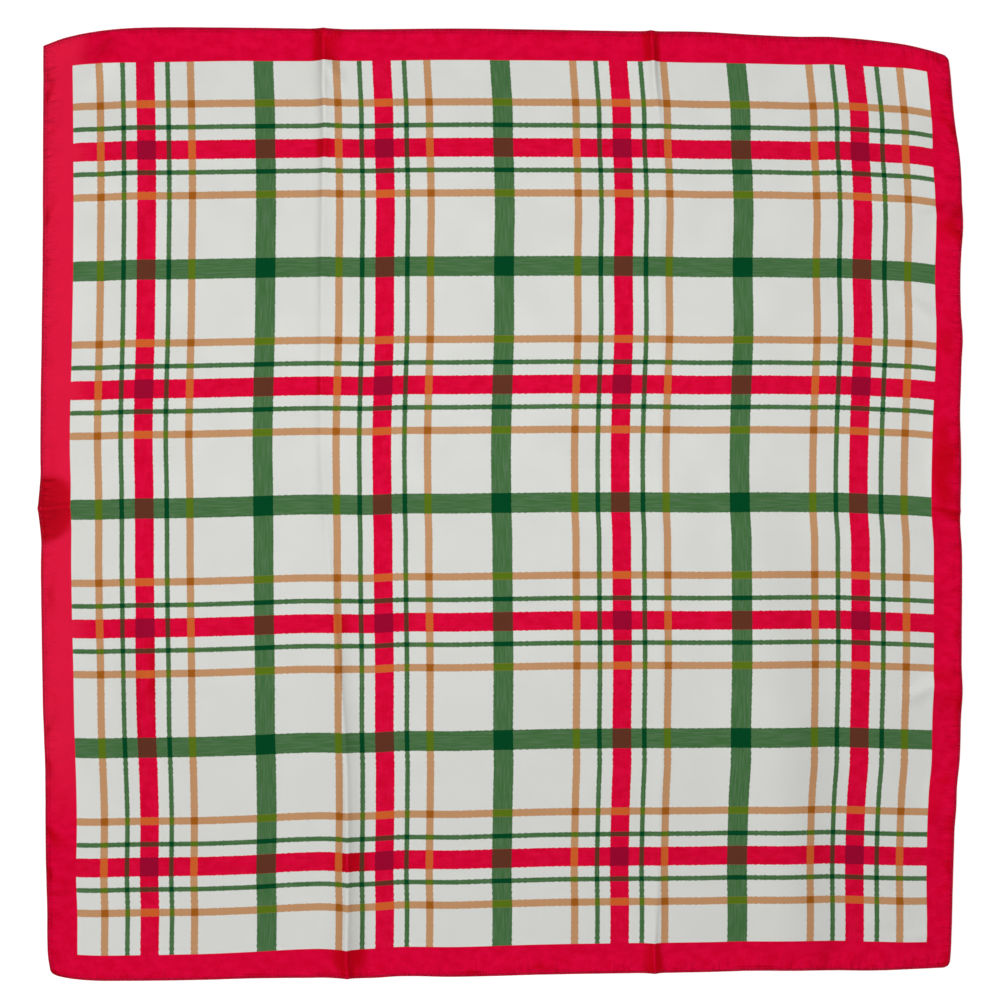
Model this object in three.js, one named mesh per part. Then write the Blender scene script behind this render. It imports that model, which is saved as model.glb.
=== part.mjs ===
// A square satin scarf, opened out and laid flat, with raised creases where it was folded before.
// Millimetres, Z up. The origin is the middle of the underside, with the cloth's length along Y.
//
// Every place on the cloth is given in flat cloth sizes: across runs from the left hem to the right
// one, and along from the bottom hem to the top one, both counted from the middle.

import * as THREE from 'three';

// The flat cloth
const CLOTH_WIDTH = 872;
const CLOTH_LENGTH = 900;
const CLOTH_THICKNESS = 1.0;

// The narrow turned hem all round, which is thicker than the cloth
const HEM_WIDTH = 4;
const HEM_SHOULDER = 1.5;
const HEM_THICKNESS = 1.8;

// The grid of the surface: its lines stand close beside the folds and far apart on the flats
const FOLD_LINE_GAPS = [3.5, 8, 14, 22, 34];
const HEM_LINE_GAPS = [HEM_WIDTH, HEM_WIDTH + HEM_SHOULDER];
const FLAT_STEP_ACROSS = 36;
const FLAT_STEP_ALONG = 28;

// How far to either side the slope of the cloth is read
const SLOPE_REACH = 1;

// The satin's ground colour and its soft sheen
const OFF_WHITE = 0xe6e5e0;
const SATIN_ROUGHNESS = 0.45;

const HALF_WIDTH = CLOTH_WIDTH / 2;
const HALF_LENGTH = CLOTH_LENGTH / 2;

// The laid outline. The side edges are read by their place along the cloth and the end edges by
// their place across it, and out is the distance from the middle out to the edge.
const LEFT_EDGE = [
  { at: -450, out: 424 },
  { at: -430, out: 426.5 },
  { at: -375, out: 426.2 },
  { at: -260, out: 428.8 },
  { at: -185, out: 431.5 },
  { at: -60, out: 433 },
  { at: 0, out: 432.2 },
  { at: 60, out: 433.6 },
  { at: 250, out: 431.5 },
  { at: 450, out: 431 },
];

const RIGHT_EDGE = [
  { at: -450, out: 423.5 },
  { at: -425, out: 425 },
  { at: -340, out: 427.4 },
  { at: -280, out: 429.6 },
  { at: -245, out: 433.2 },
  { at: -205, out: 434.3 },
  { at: -40, out: 435.2 },
  { at: 0, out: 432.5 },
  { at: 80, out: 432.8 },
  { at: 165, out: 435 },
  { at: 225, out: 433.6 },
  { at: 285, out: 435.3 },
  { at: 345, out: 433.9 },
  { at: 400, out: 426.6 },
  { at: 450, out: 421.7 },
];

const TOP_EDGE = [
  { at: -436, out: 432.8 },
  { at: -413, out: 440.9 },
  { at: -378, out: 447.3 },
  { at: -340, out: 449.8 },
  { at: -200, out: 449.4 },
  { at: -130, out: 448.2 },
  { at: -30, out: 449 },
  { at: 130, out: 446.5 },
  { at: 200, out: 445.8 },
  { at: 250, out: 443.2 },
  { at: 290, out: 441.5 },
  { at: 325, out: 441 },
  { at: 385, out: 435 },
  { at: 417, out: 427.8 },
  { at: 436, out: 422 },
];

const BOTTOM_EDGE = [
  { at: -436, out: 441.5 },
  { at: -428, out: 444.6 },
  { at: -412, out: 447.4 },
  { at: -385, out: 448.9 },
  { at: -300, out: 448 },
  { at: -240, out: 446.3 },
  { at: -150, out: 445.5 },
  { at: -125, out: 446 },
  { at: -95, out: 444.4 },
  { at: -40, out: 445 },
  { at: 40, out: 442.8 },
  { at: 180, out: 441 },
  { at: 280, out: 438.3 },
  { at: 360, out: 439 },
  { at: 436, out: 436 },
];

// Folds. Each row is one place on a fold's crest: at is its place along the fold, crest is where
// the crest runs on the other axis, height is how far it stands up, and before and after are the
// widths of its two flanks, towards the lower and the higher places of that other axis. The half
// crease is read by its place across the cloth, and every other fold by its place along it.

// The crease of the left third runs from the bottom hem to the top hem. It is a steep ridge at both
// ends and almost flat in the middle.
const LEFT_CREASE = [
  { at: -450, crest: -148, height: 4.5, before: 30, after: 26 },
  { at: -425, crest: -147, height: 7, before: 32, after: 26 },
  { at: -385, crest: -147, height: 6.5, before: 32, after: 26 },
  { at: -320, crest: -147, height: 6.5, before: 32, after: 26 },
  { at: -260, crest: -148, height: 5.5, before: 38, after: 26 },
  { at: -170, crest: -153, height: 5, before: 50, after: 24 },
  { at: -70, crest: -162, height: 2.2, before: 32, after: 18 },
  { at: 20, crest: -168, height: 1.8, before: 12, after: 22 },
  { at: 136, crest: -170, height: 1.5, before: 10, after: 24 },
  { at: 211, crest: -170, height: 2.4, before: 10, after: 24 },
  { at: 290, crest: -170, height: 2.8, before: 11, after: 25 },
  { at: 350, crest: -168, height: 3.4, before: 12, after: 27 },
  { at: 400, crest: -167, height: 4.5, before: 15, after: 27 },
  { at: 428, crest: -166, height: 4, before: 15, after: 26 },
  { at: 450, crest: -166, height: 3, before: 16, after: 26 },
];

// The crease of the right third runs beside it, lower, and dies out in the middle.
const RIGHT_CREASE = [
  { at: -450, crest: 150, height: 2.5, before: 16, after: 12 },
  { at: -415, crest: 149, height: 2, before: 16, after: 12 },
  { at: -330, crest: 152, height: 1, before: 14, after: 14 },
  { at: -100, crest: 151, height: 0.8, before: 14, after: 14 },
  { at: 200, crest: 151, height: 0.8, before: 12, after: 12 },
  { at: 340, crest: 151, height: 1, before: 12, after: 12 },
  { at: 405, crest: 150, height: 2.6, before: 12, after: 9 },
  { at: 428, crest: 150, height: 3.4, before: 12, after: 9 },
  { at: 450, crest: 150, height: 2.5, before: 12, after: 9 },
];

// The crease of the half runs from the left hem to the right hem, sharpest at its two ends. Below
// it the cloth slopes gently down over a wide reach.
const HALF_CREASE = [
  { at: -436, crest: 1, height: 3.5, before: 34, after: 36 },
  { at: -405, crest: 1, height: 2.4, before: 34, after: 34 },
  { at: -380, crest: 2, height: 1.3, before: 60, after: 34 },
  { at: -200, crest: 3, height: 1.2, before: 120, after: 40 },
  { at: 0, crest: 4, height: 1.2, before: 130, after: 40 },
  { at: 180, crest: 5, height: 1.2, before: 130, after: 40 },
  { at: 395, crest: 4, height: 1, before: 90, after: 40 },
  { at: 420, crest: 2, height: 1.8, before: 50, after: 50 },
  { at: 436, crest: 1, height: 2.4, before: 34, after: 60 },
];

// A soft swell leans across the lower right of the cloth and fades out below the half crease. A
// short soft fold stands near the left hem, and the lower left panel swells up beside its crease.
// Each lies flat where its height comes down to 0.
const RIGHT_SWELL = [
  { at: -450, crest: 286, height: 3.2, before: 56, after: 52 },
  { at: -300, crest: 268, height: 5.5, before: 60, after: 62 },
  { at: -150, crest: 250, height: 5.5, before: 60, after: 66 },
  { at: -40, crest: 236, height: 3, before: 50, after: 56 },
  { at: 30, crest: 228, height: 0, before: 40, after: 40 },
];

const LEFT_SWELL = [
  { at: -250, crest: -334, height: 0, before: 18, after: 16 },
  { at: -200, crest: -338, height: 3, before: 24, after: 20 },
  { at: -140, crest: -340, height: 3.6, before: 26, after: 20 },
  { at: -100, crest: -342, height: 0, before: 18, after: 16 },
];

const PANEL_SWELL = [
  { at: -450, crest: -192, height: 1.2, before: 130, after: 50 },
  { at: -380, crest: -192, height: 2.5, before: 150, after: 46 },
  { at: -260, crest: -194, height: 3.5, before: 160, after: 50 },
  { at: -130, crest: -198, height: 3, before: 150, after: 56 },
  { at: -50, crest: -206, height: 1.5, before: 110, after: 64 },
  { at: 20, crest: -214, height: 0, before: 60, after: 50 },
];

// Low round rises: the curled corners, the raised ends of the half crease, and the nicks where the
// right hem stands off the table.
// wide and long are each rise's reach across and along the cloth from its middle.
const RISES = [
  { across: 425, along: 430, height: 3.5, wide: 62, long: 54 },
  { across: 438, along: 44, height: 6, wide: 36, long: 66 },
  { across: -438, along: 2, height: 7, wide: 42, long: 40 },
  { across: -436, along: -345, height: 4.5, wide: 78, long: 112 },
  { across: -376, along: 424, height: 2.5, wide: 34, long: 30 },
  { across: 436, along: 283, height: 3, wide: 34, long: 30 },
  { across: 436, along: 172, height: 2.6, wide: 30, long: 26 },
  { across: 436, along: -178, height: 4, wide: 46, long: 30 },
  { across: 432, along: -290, height: 2.6, wide: 34, long: 28 },
];

// Smooth curve through one column of a table, read at any place. Its rows are in rising order, and
// past the first and last rows it stays level.
function through(rows, column) {
  const slopes = rows.map((row, i) => {
    const before = rows[Math.max(i - 1, 0)];
    const after = rows[Math.min(i + 1, rows.length - 1)];
    return (after[column] - before[column]) / (after.at - before.at);
  });
  return (place) => {
    const at = THREE.MathUtils.clamp(place, rows[0].at, rows[rows.length - 1].at);
    const next = Math.max(1, rows.findIndex((row) => row.at >= at));
    const from = rows[next - 1];
    const to = rows[next];
    const span = to.at - from.at;
    const t = (at - from.at) / span;
    const eased = t * t * (3 - 2 * t);
    const leaving = t * (1 - t) * (1 - t) * slopes[next - 1] * span;
    const arriving = t * t * (t - 1) * slopes[next] * span;
    return from[column] * (1 - eased) + to[column] * eased + leaving + arriving;
  };
}

// Cross-sections of folds: 1 on the crest and 0 from the foot of each flank outwards, where they
// meet the flat cloth smoothly. A swell has a round crest and a pressed crease has a sharp one.
// distance is counted in flank widths.
function flank(distance) {
  const left = Math.max(0, 1 - Math.abs(distance));
  return left * left * (3 - 2 * left);
}

function pressedFlank(distance) {
  return Math.max(0, 1 - Math.abs(distance)) ** 2;
}

function foldShape(rows, section) {
  const crest = through(rows, 'crest');
  const height = through(rows, 'height');
  const before = through(rows, 'before');
  const after = through(rows, 'after');
  return {
    crest,
    heightAt(place, beside) {
      const off = beside - crest(place);
      const width = off < 0 ? before(place) : after(place);
      return Math.max(0, height(place)) * section(off / width);
    },
  };
}

const leftCrease = foldShape(LEFT_CREASE, pressedFlank);
const rightCrease = foldShape(RIGHT_CREASE, pressedFlank);
const halfCrease = foldShape(HALF_CREASE, pressedFlank);
const swells = [RIGHT_SWELL, LEFT_SWELL, PANEL_SWELL].map((rows) => foldShape(rows, flank));

const leftOut = through(LEFT_EDGE, 'out');
const rightOut = through(RIGHT_EDGE, 'out');
const topOut = through(TOP_EDGE, 'out');
const bottomOut = through(BOTTOM_EDGE, 'out');

// How far the underside stands off the table
function liftAt(across, along) {
  let lift = halfCrease.heightAt(across, along);
  for (const fold of [leftCrease, rightCrease, ...swells]) {
    lift += fold.heightAt(along, across);
  }
  for (const rise of RISES) {
    const reach = Math.hypot((across - rise.across) / rise.wide, (along - rise.along) / rise.long);
    lift += rise.height * flank(reach);
  }
  return lift;
}

// Where a place on the flat cloth lies once the scarf is on the table
function laid(across, along) {
  const right = (across + HALF_WIDTH) / CLOTH_WIDTH;
  const up = (along + HALF_LENGTH) / CLOTH_LENGTH;
  return new THREE.Vector3(
    THREE.MathUtils.lerp(-leftOut(along), rightOut(along), right),
    THREE.MathUtils.lerp(-bottomOut(across), topOut(across), up),
    liftAt(across, along),
  );
}

// Direction straight out of the upper side, from places a little way off on either side
function upwards(across, along) {
  const away = SLOPE_REACH;
  const acrossCloth = laid(across + away, along).sub(laid(across - away, along));
  const alongCloth = laid(across, along + away).sub(laid(across, along - away));
  return acrossCloth.cross(alongCloth).normalize();
}

function thicknessAt(across, along) {
  const fromHem = Math.min(HALF_WIDTH - Math.abs(across), HALF_LENGTH - Math.abs(along));
  const inward = THREE.MathUtils.smoothstep(fromHem, HEM_WIDTH, HEM_WIDTH + HEM_SHOULDER);
  return THREE.MathUtils.lerp(HEM_THICKNESS, CLOTH_THICKNESS, inward);
}

// One stretch of grid lines between a start and an end, with close lines beside each, and the
// rest shared evenly. The number of lines depends only on the nominal length, so that every row
// has the same number.
function stretch(nominal, flatStep, startGaps, endGaps) {
  const close = startGaps.at(-1) + endGaps.at(-1);
  const evenSteps = Math.round((nominal - close) / flatStep);
  return (from, to) => {
    const first = from + startGaps.at(-1);
    const last = to - endGaps.at(-1);
    const lines = [from];
    for (const gap of startGaps) {
      lines.push(from + gap);
    }
    for (let i = 1; i < evenSteps; i += 1) {
      lines.push(THREE.MathUtils.lerp(first, last, i / evenSteps));
    }
    for (const gap of [...endGaps].reverse()) {
      lines.push(to - gap);
    }
    return lines;
  };
}

// Grid lines across the cloth for one place along it: hem, left crease, right crease, hem
function linesAcross() {
  const creases = [leftCrease.crest(0), rightCrease.crest(0)];
  const panels = [
    stretch(creases[0] + HALF_WIDTH, FLAT_STEP_ACROSS, HEM_LINE_GAPS, FOLD_LINE_GAPS),
    stretch(creases[1] - creases[0], FLAT_STEP_ACROSS, FOLD_LINE_GAPS, FOLD_LINE_GAPS),
    stretch(HALF_WIDTH - creases[1], FLAT_STEP_ACROSS, FOLD_LINE_GAPS, HEM_LINE_GAPS),
  ];
  return (along) => [
    ...panels[0](-HALF_WIDTH, leftCrease.crest(along)),
    ...panels[1](leftCrease.crest(along), rightCrease.crest(along)),
    ...panels[2](rightCrease.crest(along), HALF_WIDTH),
    HALF_WIDTH,
  ];
}

// Grid lines along the cloth for one place across it: hem, half crease, hem
function linesAlong() {
  const panels = [
    stretch(HALF_LENGTH, FLAT_STEP_ALONG, HEM_LINE_GAPS, FOLD_LINE_GAPS),
    stretch(HALF_LENGTH, FLAT_STEP_ALONG, FOLD_LINE_GAPS, HEM_LINE_GAPS),
  ];
  return (across) => [
    ...panels[0](-HALF_LENGTH, halfCrease.crest(across)),
    ...panels[1](halfCrease.crest(across), HALF_LENGTH),
    HALF_LENGTH,
  ];
}

// The underside's points and the upper side's points, row by row from the bottom hem up
function surfacePoints() {
  const acrossAt = linesAcross();
  const alongAt = linesAlong();
  const rows = alongAt(0);
  const columns = acrossAt(0).length;
  const under = [];
  const upper = [];
  for (let j = 0; j < rows.length; j += 1) {
    for (let i = 0; i < columns; i += 1) {
      const across = acrossAt(rows[j])[i];
      const along = alongAt(across)[j];
      const point = laid(across, along);
      const thickness = thicknessAt(across, along);
      under.push(point);
      upper.push(upwards(across, along).multiplyScalar(thickness).add(point));
    }
  }
  return { under, upper, columns, rows: rows.length };
}

// One closed body: the underside, the upper side and the cut edge all round
function clothGeometry() {
  const { under, upper, columns, rows } = surfacePoints();
  const triangles = [];
  const quad = (a, b, c, d) => triangles.push(a, b, c, a, c, d);
  const top = under.length;
  for (let j = 0; j + 1 < rows; j += 1) {
    for (let i = 0; i + 1 < columns; i += 1) {
      const corner = j * columns + i;
      const above = corner + columns;
      quad(top + corner, top + corner + 1, top + above + 1, top + above);
      quad(corner, above, above + 1, corner + 1);
    }
  }
  const last = (rows - 1) * columns;
  for (let i = 0; i + 1 < columns; i += 1) {
    quad(i, i + 1, top + i + 1, top + i);
    quad(last + i + 1, last + i, top + last + i, top + last + i + 1);
  }
  for (let j = 0; j + 1 < rows; j += 1) {
    const leftSide = j * columns;
    const rightSide = leftSide + columns - 1;
    quad(leftSide + columns, leftSide, top + leftSide, top + leftSide + columns);
    quad(rightSide, rightSide + columns, top + rightSide + columns, top + rightSide);
  }

  const geometry = new THREE.BufferGeometry().setFromPoints([...under, ...upper]);
  geometry.setIndex(triangles);
  geometry.computeBoundingBox();
  const middle = geometry.boundingBox.getCenter(new THREE.Vector3());
  geometry.translate(-middle.x, -middle.y, -geometry.boundingBox.min.z);
  geometry.computeVertexNormals();
  return geometry;
}

function scarfCloth() {
  const satin = new THREE.MeshStandardMaterial({
    color: OFF_WHITE,
    roughness: SATIN_ROUGHNESS,
    metalness: 0,
  });
  const cloth = new THREE.Mesh(clothGeometry(), satin);
  cloth.name = 'scarf_cloth';
  return cloth;
}

const scarf = new THREE.Group();
scarf.add(scarfCloth());

export default scarf;
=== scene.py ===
"""A printed satin scarf, opened out and laid flat, with the creases of its folding left in it.

Blender works in metres with Z up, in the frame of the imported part. Sizes on the cloth are written
in millimetres and become metres where a mesh is made. Every place on the cloth is given in flat
cloth sizes: across runs from the left hem to the right one, and along from the bottom hem to the
top one, both counted from the middle.
"""

import math

import bpy
import numpy as np
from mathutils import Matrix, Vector


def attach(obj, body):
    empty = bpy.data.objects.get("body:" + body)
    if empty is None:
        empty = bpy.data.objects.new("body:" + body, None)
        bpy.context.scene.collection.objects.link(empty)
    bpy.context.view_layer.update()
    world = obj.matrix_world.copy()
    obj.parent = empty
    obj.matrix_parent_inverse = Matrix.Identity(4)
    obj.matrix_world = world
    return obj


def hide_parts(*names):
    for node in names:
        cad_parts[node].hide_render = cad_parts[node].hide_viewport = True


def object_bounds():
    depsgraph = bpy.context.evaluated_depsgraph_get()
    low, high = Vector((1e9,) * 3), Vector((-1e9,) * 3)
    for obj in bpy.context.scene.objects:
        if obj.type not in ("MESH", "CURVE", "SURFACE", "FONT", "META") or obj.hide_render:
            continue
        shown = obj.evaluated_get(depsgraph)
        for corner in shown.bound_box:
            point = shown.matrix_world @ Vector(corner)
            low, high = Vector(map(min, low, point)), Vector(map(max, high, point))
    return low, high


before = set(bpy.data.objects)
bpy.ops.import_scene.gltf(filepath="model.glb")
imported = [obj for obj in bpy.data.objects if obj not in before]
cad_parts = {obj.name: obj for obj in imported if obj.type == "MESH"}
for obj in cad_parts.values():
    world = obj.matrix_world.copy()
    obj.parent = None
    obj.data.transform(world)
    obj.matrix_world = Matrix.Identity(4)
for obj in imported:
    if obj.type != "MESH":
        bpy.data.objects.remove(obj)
CAD_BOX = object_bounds()

MM = 0.001

# The flat cloth
CLOTH_WIDTH = 872.0
CLOTH_LENGTH = 900.0
HALF_WIDTH = CLOTH_WIDTH / 2
HALF_LENGTH = CLOTH_LENGTH / 2
CLOTH_THICKNESS = 0.4

# Thickness of the narrow turned hem, from the folded edge inwards. The dip is its line of stitches.
HEM_PROFILE = [
    {"inwards": 0.0, "thick": 0.50},
    {"inwards": 0.3, "thick": 0.95},
    {"inwards": 0.7, "thick": 1.20},
    {"inwards": 1.2, "thick": 1.25},
    {"inwards": 1.7, "thick": 0.85},
    {"inwards": 2.2, "thick": 1.10},
    {"inwards": 3.3, "thick": 1.20},
    {"inwards": 4.0, "thick": 0.90},
    {"inwards": 4.5, "thick": 0.55},
    {"inwards": 5.5, "thick": CLOTH_THICKNESS},
]

# The laid outline. The side edges are read by their place along the cloth and the end edges by
# their place across it, and out is the distance from the middle out to the edge.
LEFT_EDGE = [
    {"at": -450, "out": 424},
    {"at": -430, "out": 426.5},
    {"at": -375, "out": 426.2},
    {"at": -260, "out": 428.8},
    {"at": -185, "out": 431.5},
    {"at": -60, "out": 433},
    {"at": 0, "out": 432.2},
    {"at": 60, "out": 433.6},
    {"at": 250, "out": 431.5},
    {"at": 450, "out": 431},
]

RIGHT_EDGE = [
    {"at": -450, "out": 423.5},
    {"at": -425, "out": 425},
    {"at": -340, "out": 427.4},
    {"at": -280, "out": 429.6},
    {"at": -245, "out": 433.2},
    {"at": -205, "out": 434.3},
    {"at": -40, "out": 435.2},
    {"at": 0, "out": 432.5},
    {"at": 80, "out": 432.8},
    {"at": 165, "out": 435},
    {"at": 225, "out": 433.6},
    {"at": 285, "out": 435.3},
    {"at": 345, "out": 433.9},
    {"at": 400, "out": 426.6},
    {"at": 450, "out": 421.7},
]

TOP_EDGE = [
    {"at": -436, "out": 432.8},
    {"at": -413, "out": 440.9},
    {"at": -378, "out": 447.3},
    {"at": -340, "out": 449.8},
    {"at": -200, "out": 449.4},
    {"at": -130, "out": 448.2},
    {"at": -30, "out": 449},
    {"at": 130, "out": 446.5},
    {"at": 200, "out": 445.8},
    {"at": 250, "out": 443.2},
    {"at": 290, "out": 441.5},
    {"at": 325, "out": 441},
    {"at": 385, "out": 435},
    {"at": 417, "out": 427.8},
    {"at": 436, "out": 422},
]

BOTTOM_EDGE = [
    {"at": -436, "out": 441.5},
    {"at": -428, "out": 444.6},
    {"at": -412, "out": 447.4},
    {"at": -385, "out": 448.9},
    {"at": -300, "out": 448},
    {"at": -240, "out": 446.3},
    {"at": -150, "out": 445.5},
    {"at": -125, "out": 446},
    {"at": -95, "out": 444.4},
    {"at": -40, "out": 445},
    {"at": 40, "out": 442.8},
    {"at": 180, "out": 441},
    {"at": 280, "out": 438.3},
    {"at": 360, "out": 439},
    {"at": 436, "out": 436},
]

# How far each corner of the laid outline is rounded. side is -1 for left and 1 for right, and end
# is -1 for bottom and 1 for top.
CORNERS = [
    {"side": -1, "end": 1, "radius": 1.0},
    {"side": 1, "end": 1, "radius": 5.0},
    {"side": -1, "end": -1, "radius": 3.0},
    {"side": 1, "end": -1, "radius": 7.0},
]

# Width of the plain border inside each edge. It is uneven because the hem wanders over the print.
LEFT_BORDER = [
    {"at": -450, "wide": 28.7},
    {"at": -392, "wide": 28.8},
    {"at": -354, "wide": 28.3},
    {"at": -300, "wide": 29.8},
    {"at": -240, "wide": 29.3},
    {"at": -166, "wide": 29.8},
    {"at": -90, "wide": 29},
    {"at": 60, "wide": 28.1},
    {"at": 155, "wide": 28.9},
    {"at": 249, "wide": 29.3},
    {"at": 343, "wide": 29},
    {"at": 450, "wide": 28},
]

RIGHT_BORDER = [
    {"at": -450, "wide": 24.2},
    {"at": -411, "wide": 24.2},
    {"at": -345, "wide": 26.2},
    {"at": -260, "wide": 26.5},
    {"at": -222, "wide": 27.4},
    {"at": -166, "wide": 26.6},
    {"at": -60, "wide": 27.2},
    {"at": -15, "wide": 26.9},
    {"at": 42, "wide": 26.2},
    {"at": 98, "wide": 25.3},
    {"at": 175, "wide": 24.2},
    {"at": 268, "wide": 24.4},
    {"at": 310, "wide": 25.8},
    {"at": 343, "wide": 26.8},
    {"at": 386, "wide": 22.8},
    {"at": 450, "wide": 24},
]

TOP_BORDER = [
    {"at": -436, "wide": 27},
    {"at": -405, "wide": 28.8},
    {"at": -378, "wide": 32},
    {"at": -320, "wide": 32.9},
    {"at": -246, "wide": 31.8},
    {"at": -190, "wide": 31.4},
    {"at": -130, "wide": 30.1},
    {"at": -10, "wide": 30},
    {"at": 131, "wide": 29},
    {"at": 195, "wide": 30},
    {"at": 250, "wide": 28},
    {"at": 301, "wide": 27.1},
    {"at": 357, "wide": 26},
    {"at": 397, "wide": 23.4},
    {"at": 436, "wide": 21.5},
]

BOTTOM_BORDER = [
    {"at": -436, "wide": 24.5},
    {"at": -390, "wide": 24},
    {"at": -322, "wide": 24.3},
    {"at": -246, "wide": 25.2},
    {"at": -190, "wide": 27.6},
    {"at": -150, "wide": 27.6},
    {"at": -77, "wide": 28.1},
    {"at": 18, "wide": 28.6},
    {"at": 168, "wide": 29},
    {"at": 250, "wide": 28.5},
    {"at": 320, "wide": 28.7},
    {"at": 365, "wide": 27.9},
    {"at": 400, "wide": 26.4},
    {"at": 436, "wide": 26},
]

# Folds. Each row is one place on a fold's crest: at is its place along the fold, crest is where
# the crest runs on the other axis, height is how far it stands up, before and after are the widths
# of its two flanks, and pinch is how much higher the pressed line stands on the crest.
LEFT_CREASE = [
    {"at": -450, "crest": -148, "height": 4.5, "before": 30, "after": 26, "pinch": 0.4},
    {"at": -425, "crest": -147, "height": 7, "before": 32, "after": 26, "pinch": 0.6},
    {"at": -385, "crest": -147, "height": 6.5, "before": 32, "after": 26, "pinch": 0.6},
    {"at": -320, "crest": -147, "height": 6.5, "before": 32, "after": 26, "pinch": 0.6},
    {"at": -260, "crest": -148, "height": 5.5, "before": 38, "after": 26, "pinch": 0.5},
    {"at": -170, "crest": -153, "height": 5, "before": 50, "after": 24, "pinch": 0.4},
    {"at": -70, "crest": -162, "height": 2.2, "before": 32, "after": 18, "pinch": 0.3},
    {"at": 20, "crest": -168, "height": 1.8, "before": 12, "after": 22, "pinch": 0.3},
    {"at": 136, "crest": -170, "height": 1.5, "before": 10, "after": 24, "pinch": 0.2},
    {"at": 211, "crest": -170, "height": 2.4, "before": 10, "after": 24, "pinch": 0.3},
    {"at": 290, "crest": -170, "height": 2.8, "before": 11, "after": 25, "pinch": 0.3},
    {"at": 350, "crest": -168, "height": 3.4, "before": 12, "after": 27, "pinch": 0.4},
    {"at": 400, "crest": -167, "height": 4.5, "before": 15, "after": 27, "pinch": 0.5},
    {"at": 428, "crest": -166, "height": 4, "before": 15, "after": 26, "pinch": 0.4},
    {"at": 450, "crest": -166, "height": 3, "before": 16, "after": 26, "pinch": 0.2},
]

RIGHT_CREASE = [
    {"at": -450, "crest": 150, "height": 2.5, "before": 16, "after": 12, "pinch": 0.3},
    {"at": -415, "crest": 149, "height": 2, "before": 16, "after": 12, "pinch": 0.3},
    {"at": -330, "crest": 152, "height": 1, "before": 14, "after": 14, "pinch": 0.2},
    {"at": -100, "crest": 151, "height": 0.8, "before": 14, "after": 14, "pinch": 0.1},
    {"at": 200, "crest": 151, "height": 0.8, "before": 12, "after": 12, "pinch": 0.1},
    {"at": 340, "crest": 151, "height": 1, "before": 12, "after": 12, "pinch": 0.2},
    {"at": 405, "crest": 150, "height": 2.6, "before": 12, "after": 9, "pinch": 0.4},
    {"at": 428, "crest": 150, "height": 3.4, "before": 12, "after": 9, "pinch": 0.5},
    {"at": 450, "crest": 150, "height": 2.5, "before": 12, "after": 9, "pinch": 0.3},
]

HALF_CREASE = [
    {"at": -436, "crest": 1, "height": 3.5, "before": 34, "after": 36, "pinch": 1.2},
    {"at": -405, "crest": 1, "height": 2.4, "before": 34, "after": 34, "pinch": 0.9},
    {"at": -380, "crest": 2, "height": 1.3, "before": 60, "after": 34, "pinch": 0.4},
    {"at": -200, "crest": 3, "height": 1.2, "before": 120, "after": 40, "pinch": 0.2},
    {"at": 0, "crest": 4, "height": 1.2, "before": 130, "after": 40, "pinch": 0.2},
    {"at": 180, "crest": 5, "height": 1.2, "before": 130, "after": 40, "pinch": 0.2},
    {"at": 395, "crest": 4, "height": 1, "before": 90, "after": 40, "pinch": 0.2},
    {"at": 420, "crest": 2, "height": 1.8, "before": 50, "after": 50, "pinch": 0.6},
    {"at": 436, "crest": 1, "height": 2.4, "before": 34, "after": 60, "pinch": 0.8},
]

RIGHT_SWELL = [
    {"at": -450, "crest": 286, "height": 3.2, "before": 56, "after": 52, "pinch": 0},
    {"at": -300, "crest": 268, "height": 5.5, "before": 60, "after": 62, "pinch": 0},
    {"at": -150, "crest": 250, "height": 5.5, "before": 60, "after": 66, "pinch": 0},
    {"at": -40, "crest": 236, "height": 3, "before": 50, "after": 56, "pinch": 0},
    {"at": 30, "crest": 228, "height": 0, "before": 40, "after": 40, "pinch": 0},
]

LEFT_SWELL = [
    {"at": -250, "crest": -334, "height": 0, "before": 18, "after": 16, "pinch": 0},
    {"at": -200, "crest": -338, "height": 3, "before": 24, "after": 20, "pinch": 0},
    {"at": -140, "crest": -340, "height": 3.6, "before": 26, "after": 20, "pinch": 0},
    {"at": -100, "crest": -342, "height": 0, "before": 18, "after": 16, "pinch": 0},
]

PANEL_SWELL = [
    {"at": -450, "crest": -192, "height": 1.2, "before": 130, "after": 50, "pinch": 0},
    {"at": -380, "crest": -192, "height": 2.5, "before": 150, "after": 46, "pinch": 0},
    {"at": -260, "crest": -194, "height": 3.5, "before": 160, "after": 50, "pinch": 0},
    {"at": -130, "crest": -198, "height": 3, "before": 150, "after": 56, "pinch": 0},
    {"at": -50, "crest": -206, "height": 1.5, "before": 110, "after": 64, "pinch": 0},
    {"at": 20, "crest": -214, "height": 0, "before": 60, "after": 50, "pinch": 0},
]

# Creases have sharp crests and swells have round ones. Those along the cloth are read by their
# place along it, and the one that runs across the cloth by its place across it.
CREASES_ALONG = [LEFT_CREASE, RIGHT_CREASE]
SWELLS_ALONG = [RIGHT_SWELL, LEFT_SWELL, PANEL_SWELL]
CREASES_ACROSS = [HALF_CREASE]
PINCH_REACH = 3.5

# Low round rises: the two raised ends of the half crease, the curled corners, and the places where
# the right hem stands off the table. wide and long are each rise's reach across and along the cloth
# from its middle.
RISES = [
    {"across": 425, "along": 430, "height": 3.5, "wide": 62, "long": 54},
    {"across": 438, "along": 44, "height": 6, "wide": 36, "long": 66},
    {"across": -438, "along": 2, "height": 7, "wide": 42, "long": 40},
    {"across": -436, "along": -345, "height": 4.5, "wide": 78, "long": 112},
    {"across": -376, "along": 424, "height": 2.5, "wide": 34, "long": 30},
    {"across": 436, "along": 283, "height": 3, "wide": 34, "long": 30},
    {"across": 436, "along": 172, "height": 2.6, "wide": 30, "long": 26},
    {"across": 436, "along": -178, "height": 4, "wide": 46, "long": 30},
    {"across": 432, "along": -290, "height": 2.6, "wide": 34, "long": 28},
]

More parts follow.
